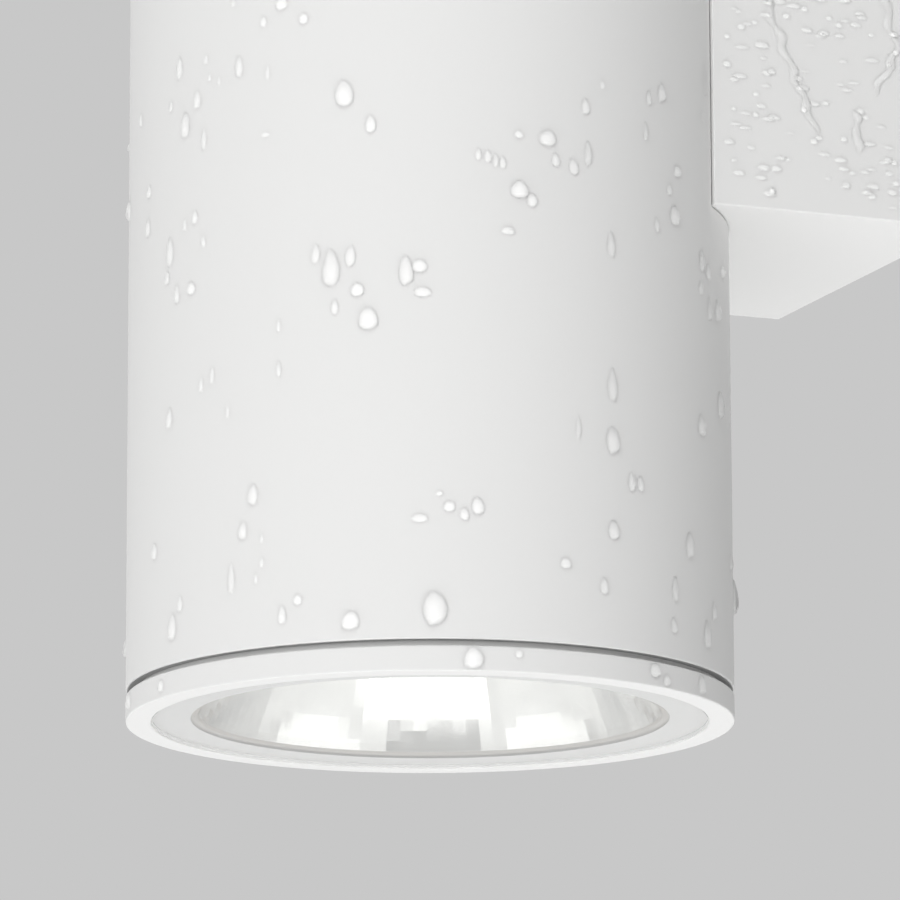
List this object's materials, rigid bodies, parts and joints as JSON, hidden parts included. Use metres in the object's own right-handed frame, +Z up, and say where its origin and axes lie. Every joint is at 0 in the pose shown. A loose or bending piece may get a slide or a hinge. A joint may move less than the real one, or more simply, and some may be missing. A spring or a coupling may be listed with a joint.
{
  "type": "outdoor wall light",
  "caption": "White round tube on a square wall box, lit up and down through flush glass and faceted reflectors, with threaded end rings.",
  "frame": {"origin": "centre of the face that lies on the wall", "axes": "+Y into the wall, +Z up along the lamp, +X to the right seen from in front"},
  "size_m": [0.09, 0.1178, 0.214],
  "materials": {
    "white_powder_coat": "fine satin powder coat",
    "white_enamel": "white fired-on glass enamel",
    "black_rubber": "matt",
    "clear_glass": "polished",
    "metallised_reflector": "vacuum-metallised facets",
    "phosphor": "LED phosphor in silicone",
    "board_ceramic": "matt",
    "holder_plastic": "moulded",
    "bare_aluminium": "die-cast",
    "zinc_steel": "zinc plated",
    "stainless": "A2 stainless",
    "brass": "bright",
    "driver_case": "moulded case, potted",
    "terminal_plastic": "polyamide",
    "lead_silicone": "silicone insulation",
    "earth_insulation": "green insulation"
  },
  "bodies": {
    "lamp": {"lamp_body": "white_powder_coat", "wall_box": "white_powder_coat", "arm_gasket": "black_rubber", "arm_screws": "stainless", "lead_grommet": "black_rubber", "wall_gasket": "black_rubber", "wall_bracket": "zinc_steel", "side_screws": "stainless", "cable_grommet": "black_rubber", "terminal_block": "terminal_plastic", "terminal_screws": "zinc_steel", "terminal_fixings": "zinc_steel", "earth_tag": "brass", "earth_screw": "brass", "earth_lead": "earth_insulation", "supply_leads": "lead_silicone", "led_driver": "driver_case", "driver_screws": "zinc_steel", "lower_reflector": "metallised_reflector", "lower_led_board": "board_ceramic", "lower_led_emitter": "phosphor", "lower_led_holder": "holder_plastic", "lower_holder_screws": "stainless", "lower_heat_sink": "bare_aluminium", "lower_sink_screws": "stainless", "lower_led_leads": "lead_silicone", "upper_reflector": "metallised_reflector", "upper_led_board": "board_ceramic", "upper_led_emitter": "phosphor", "upper_led_holder": "holder_plastic", "upper_holder_screws": "stainless", "upper_heat_sink": "bare_aluminium", "upper_sink_screws": "stainless", "upper_led_leads": "lead_silicone"},
    "lower_seal": {"lower_o_ring": "black_rubber"},
    "lower_cap": {"lower_end_ring": "white_powder_coat", "lower_front_glass": "clear_glass", "lower_glass_border": "white_enamel", "lower_glass_seal": "black_rubber"},
    "upper_seal": {"upper_o_ring": "black_rubber"},
    "upper_cap": {"upper_end_ring": "white_powder_coat", "upper_front_glass": "clear_glass", "upper_glass_border": "white_enamel", "upper_glass_seal": "black_rubber"}
  },
  "joints": [
    {"name": "lower_ring_travel", "type": "slide", "parent": "lamp", "child": "lower_seal", "axis": [0, 0, -1], "range_m": [0, 0.006]},
    {"name": "lower_ring_turn", "type": "hinge", "parent": "lower_seal", "child": "lower_cap", "pos_m": [0, -0.0728, -0.107], "axis": [0, 0, -1], "range_deg": [0, 1440]},
    {"name": "upper_ring_travel", "type": "slide", "parent": "lamp", "child": "upper_seal", "axis": [0, 0, 1], "range_m": [0, 0.006]},
    {"name": "upper_ring_turn", "type": "hinge", "parent": "upper_seal", "child": "upper_cap", "pos_m": [0, -0.0728, 0.107], "axis": [0, 0, 1], "range_deg": [0, 1440]}
  ],
  "couplings": [
    {"joint": "lower_ring_travel", "follows": "lower_ring_turn", "m_per_rad": 0.00023873},
    {"joint": "upper_ring_travel", "follows": "upper_ring_turn", "m_per_rad": 0.00023873}
  ]
}
